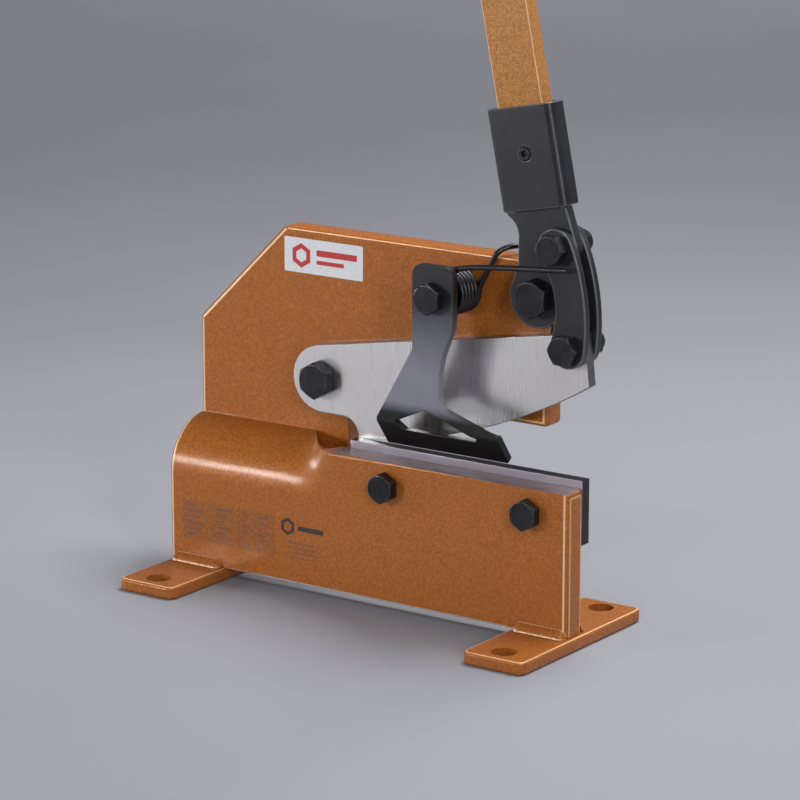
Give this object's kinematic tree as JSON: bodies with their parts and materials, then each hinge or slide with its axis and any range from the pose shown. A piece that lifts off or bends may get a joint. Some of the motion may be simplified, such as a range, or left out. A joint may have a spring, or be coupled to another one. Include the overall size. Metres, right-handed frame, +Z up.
{
  "type": "hand lever bench shear",
  "caption": "Bench-mounted metal shear: a hand lever and two links draw a pivoted upper blade past a fixed lower blade, with a hold-down and a return spring.",
  "frame": {"origin": "on the ground under the middle of the two feet", "axes": "+X along the blades towards the lever end, +Y to the back of the machine, +Z up"},
  "size_m": [0.233, 0.1028, 0.5541],
  "materials": {
    "frame_paint": "hammertone orange-brown enamel",
    "ground_steel": "surface-ground tool steel",
    "black_steel": "satin black coated steel",
    "bolt_black": "black oxide",
    "spring_steel": "oiled black spring wire",
    "grip_rubber": "matt moulded grip"
  },
  "bodies": {
    "frame": {"frame_plate": "frame_paint", "foot_left": "frame_paint", "foot_right": "frame_paint", "weld_left_front": "frame_paint", "weld_left_back": "frame_paint", "weld_right_front": "frame_paint", "weld_right_back": "frame_paint", "lower_blade": "ground_steel", "lower_blade_bolt_left": "bolt_black", "lower_blade_bolt_right": "bolt_black", "blade_pivot_bolt": "bolt_black", "blade_pivot_nut": "bolt_black", "fulcrum_bolt": "bolt_black", "fulcrum_nut": "bolt_black", "hold_down_bolt": "bolt_black", "hold_down_nut": "bolt_black", "hold_down_spacer": "black_steel", "return_spring": "spring_steel"},
    "lever": {"lever_plate": "black_steel", "lever_socket": "black_steel", "socket_set_screw": "bolt_black", "handle_bar": "frame_paint", "handle_grip": "grip_rubber"},
    "blade": {"upper_blade": "ground_steel"},
    "link": {"link_front": "black_steel", "link_rear": "black_steel", "link_bolt_upper": "bolt_black", "link_bolt_lower": "bolt_black", "link_nut_upper": "bolt_black", "link_nut_lower": "bolt_black"},
    "spring_leg": {"spring_front_leg": "spring_steel"},
    "clamp": {"hold_down": "black_steel"}
  },
  "joints": [
    {"name": "lever_hinge", "type": "hinge", "parent": "frame", "child": "lever", "pos_m": [0.0836, 0.0128, 0.1577], "axis": [0, 1, 0], "range_deg": [0, 100], "stiffness_Nm_per_rad": 1, "springref_deg": -28.65},
    {"name": "blade_hinge", "type": "hinge", "parent": "frame", "child": "blade", "pos_m": [-0.0379, 0.0128, 0.1028], "axis": [0, 1, 0], "range_deg": [0, 16.5]},
    {"name": "link_hinge", "type": "hinge", "parent": "blade", "child": "link", "pos_m": [0.1028, 0.0128, 0.1367], "axis": [0, 1, 0], "range_deg": [-9, 0]},
    {"name": "spring_leg_hinge", "type": "hinge", "parent": "frame", "child": "spring_leg", "pos_m": [0.0397, -0.0038, 0.1554], "axis": [0, 1, 0], "range_deg": [0, 42]},
    {"name": "hold_down_hinge", "type": "hinge", "parent": "frame", "child": "clamp", "pos_m": [0.0397, -0.0078, 0.1554], "axis": [0, 1, 0], "range_deg": [-12, 6]}
  ],
  "couplings": [
    {"joint": "blade_hinge", "follows": "lever_hinge", "ratio": 0.165},
    {"joint": "link_hinge", "follows": "lever_hinge", "ratio": -0.09},
    {"joint": "spring_leg_hinge", "follows": "lever_hinge", "ratio": 0.42}
  ]
}
